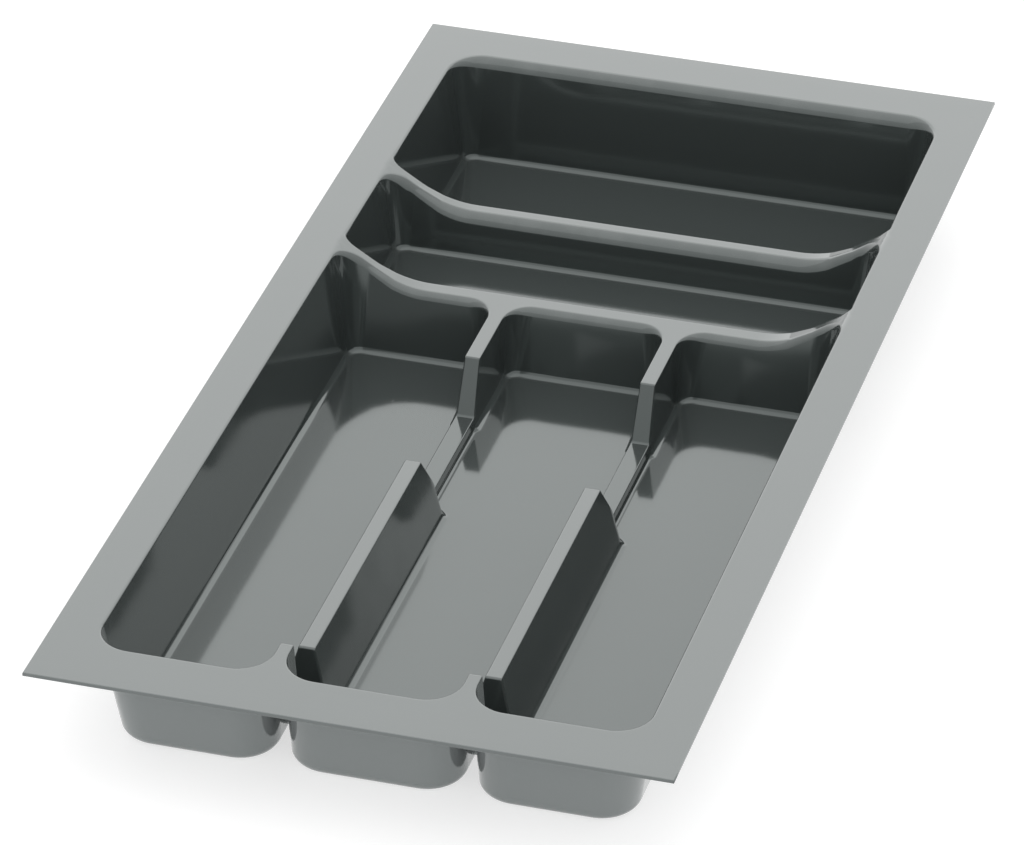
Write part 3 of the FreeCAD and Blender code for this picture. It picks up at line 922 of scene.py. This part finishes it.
dust, inputs, outputs = new_group("settled dust", [("Place", COORDS), ("Up", VALUE)], [("Mask", VALUE)])
level = remap(dust, inputs["Up"], low=0.85, high=1.0)
specks = remap(dust, noise(dust, inputs["Place"], scale=900.0, detail=1.0), low=0.66, high=0.8)
drift = remap(dust, noise(dust, inputs["Place"], scale=14.0, detail=3.0), low=0.35, high=0.75)
dust.links.new(maths(dust, "MULTIPLY", maths(dust, "MULTIPLY", specks, drift), level), outputs["Mask"])
print("node groups:", [group.name for group in bpy.data.node_groups])

# %% Glossy dark grey plastic
PLASTIC = (0.036, 0.042, 0.041, 1.0)
RUBBED = (0.07, 0.076, 0.075, 1.0)
DUST = (0.12, 0.12, 0.117, 1.0)
# Painted light: the lower side, seen as the outer walls under the rim, is painted far paler than the plastic.
# This stands in for the light that the white floor throws on them.
UNDERSIDE_PAINTED_LIGHT = (0.25, 0.264, 0.266, 1.0)
MIRROR_INDEX = 1.8
MIRROR_TINT = (0.9, 1.0, 0.98, 1.0)
plastic = bpy.data.materials.new("glossy grey plastic")
plastic.use_nodes = True
tree = plastic.node_tree
shader = tree.nodes["Principled BSDF"]
place = add_node(tree, "ShaderNodeTexCoord").outputs["Object"]
edge, drawn, under = (add_node(tree, "ShaderNodeAttribute", attribute_name=name).outputs["Fac"]
                      for name in ("edge_share", "drawn_share", "painted_light_share"))
normal = add_node(tree, "ShaderNodeNewGeometry").outputs["Normal"]
up = add_node(tree, "ShaderNodeSeparateXYZ", {"Vector": normal}).outputs["Z"]
grained = add_node(tree, "ShaderNodeGroup", node_tree=grain)
rubbed = add_node(tree, "ShaderNodeGroup", node_tree=wear)
dusted = add_node(tree, "ShaderNodeGroup", node_tree=dust)
for group in (grained, rubbed, dusted):
    tree.links.new(place, group.inputs["Place"])
tree.links.new(edge, rubbed.inputs["Edge"])
tree.links.new(up, dusted.inputs["Up"])
print("attributes and groups in the material:", len(tree.nodes), "nodes")


# %% Colour of the plastic
RUB_SHARE = 0.5
DUST_SHARE = 0.3


def mix_colour(amount, first, second):
    """Mix of two colours by a mask; each colour is a value or an output."""
    node = add_node(tree, "ShaderNodeMix", data_type="RGBA")
    tree.links.new(amount, node.inputs["Factor"])
    for socket, colour in ((node.inputs[6], first), (node.inputs[7], second)):
        if isinstance(colour, bpy.types.NodeSocket):
            tree.links.new(colour, socket)
        else:
            socket.default_value = colour
    return node.outputs[2]


# The paler lower-side colour mixed in here is painted light, on the lower side and partly on the cut edge.
colour = mix_colour(under, PLASTIC, UNDERSIDE_PAINTED_LIGHT)
colour = mix_colour(maths(tree, "MULTIPLY", rubbed.outputs["Mask"], RUB_SHARE), colour, RUBBED)
colour = mix_colour(maths(tree, "MULTIPLY", dusted.outputs["Mask"], DUST_SHARE), colour, DUST)
tree.links.new(colour, shader.inputs["Base Color"])
print("base colour comes from", shader.inputs["Base Color"].links[0].from_node.bl_label)

# %% Gloss and grain of the plastic
LEAST_ROUGHNESS, CLOUD_ROUGHNESS, DUST_ROUGHNESS, COAT_ROUGHNESS = 0.07, 0.03, 0.15, 0.08
COAT_LOSS = 0.65
GRAIN_HEIGHT = 0.06 * MM
cloudy = maths(tree, "MULTIPLY", grained.outputs["Cloud"], CLOUD_ROUGHNESS)
matt = maths(tree, "MULTIPLY", dusted.outputs["Mask"], DUST_ROUGHNESS)
roughness = maths(tree, "ADD", maths(tree, "ADD", cloudy, matt), LEAST_ROUGHNESS)
tree.links.new(roughness, shader.inputs["Roughness"])
kept = maths(tree, "SUBTRACT", 1.0, maths(tree, "MULTIPLY", drawn, COAT_LOSS))
coat = maths(tree, "MULTIPLY", remap(tree, up, low=0.2, high=0.95), kept)
tree.links.new(coat, shader.inputs["Coat Weight"])
bump = add_node(tree, "ShaderNodeBump", {"Height": grained.outputs["Height"], "Distance": GRAIN_HEIGHT})
tree.links.new(bump.outputs["Normal"], shader.inputs["Normal"])
shader.inputs["IOR"].default_value = MIRROR_INDEX
shader.inputs["Specular Tint"].default_value = MIRROR_TINT
shader.inputs["Coat Roughness"].default_value = COAT_ROUGHNESS
for piece in pieces:
    piece.data.materials.append(plastic)
print("material:", plastic.name, "on", len(pieces), "pieces")

# %% [markdown]
# ## Studio
# The tray stands on a pale floor in an evenly white room, the plainest light there is: a white wall all
# round draws the bright lines in the floor roundings and along the lips. A wide softbox stands behind the
# tray, just where the level surfaces mirror it to the camera, so rims and floors get their sheen while the
# walls that face the camera stay dark. A second, weaker softbox hangs overhead for the lips and the slopes
# of the crests. The floor is painted mid grey, which throws less light on the tray than white paint would.
# For the camera its colour is lifted to white, with the tray's shadow kept, and mirrors see it plain white.

# %% Lights
def softbox(name, azimuth, elevation, distance, size, radiance):
    """A rectangular lamp that looks at the tray; its power is its radiance times pi times its area."""
    light = bpy.data.lights.new(name, "AREA")
    light.shape = "RECTANGLE"
    light.size, light.size_y = size
    light.energy = radiance * np.pi * size[0] * size[1]
    azimuth, elevation = np.radians(azimuth), np.radians(elevation)
    out = Vector((np.cos(elevation) * np.sin(azimuth), np.cos(elevation) * np.cos(azimuth),
                  np.sin(elevation)))
    lamp = bpy.data.objects.new(name, light)
    lamp.matrix_world = (Matrix.Translation(VIEW_CENTRE + out * distance)
                         @ (-out).to_track_quat("-Z", "Y").to_matrix().to_4x4())
    lamp.visible_camera = False
    bpy.context.scene.collection.objects.link(lamp)


softbox("back softbox", azimuth=-6, elevation=30, distance=2.0, size=(2.9, 1.1), radiance=0.76)
softbox("top softbox", azimuth=-15, elevation=85, distance=2.0, size=(2.2, 3.6), radiance=0.33)

# %% World
ROOM_WHITE = (1, 1, 1, 1)
world = bpy.data.worlds.new("white room")
bpy.context.scene.world = world
world.use_nodes = True
room = world.node_tree.nodes["Background"]
room.inputs["Color"].default_value = ROOM_WHITE
room.inputs["Strength"].default_value = 1.0
print("world:", world.name, "strength", room.inputs["Strength"].default_value)

# %% Floor
FLOOR_HALF = 4.0
FLOOR_DROP = 0.3 * MM
FLOOR_PAINT = (0.5, 0.5, 0.5, 1)
FLOOR_LIFT = 0.64
floor_mesh = bpy.data.meshes.new("floor")
corners = FLOOR_HALF * np.array([(-1, -1), (1, -1), (1, 1), (-1, 1)])
floor_mesh.from_pydata(np.column_stack([corners, np.full(4, -FLOOR_DROP)]).tolist(), [], [(0, 1, 2, 3)])
floor = bpy.data.objects.new("floor", floor_mesh)
bpy.context.scene.collection.objects.link(floor)
pale = bpy.data.materials.new("pale floor")
pale.use_nodes = True
tree = pale.node_tree
tree.nodes.remove(tree.nodes["Principled BSDF"])
path = add_node(tree, "ShaderNodeLightPath").outputs
mirrored = maths(tree, "MAXIMUM", path["Is Glossy Ray"], path["Is Transmission Ray"])
paint = add_node(tree, "ShaderNodeBsdfDiffuse", {"Color": FLOOR_PAINT})
lifted = maths(tree, "MULTIPLY", path["Is Camera Ray"], FLOOR_LIFT)
lift = add_node(tree, "ShaderNodeEmission", {"Strength": lifted})
seen = add_node(tree, "ShaderNodeAddShader", {0: paint.outputs[0], 1: lift.outputs[0]})
white = add_node(tree, "ShaderNodeEmission", {"Strength": 1.0})
both = add_node(tree, "ShaderNodeMixShader", {0: mirrored, 1: seen.outputs[0], 2: white.outputs[0]})
tree.links.new(both.outputs[0], tree.nodes["Material Output"].inputs["Surface"])
floor_mesh.materials.append(pale)
print("floor material:", pale.name, "with", len(tree.nodes), "nodes")

# %% Picture settings
bpy.context.scene.view_settings.view_transform = "Standard"
print("view transform:", bpy.context.scene.view_settings.view_transform)
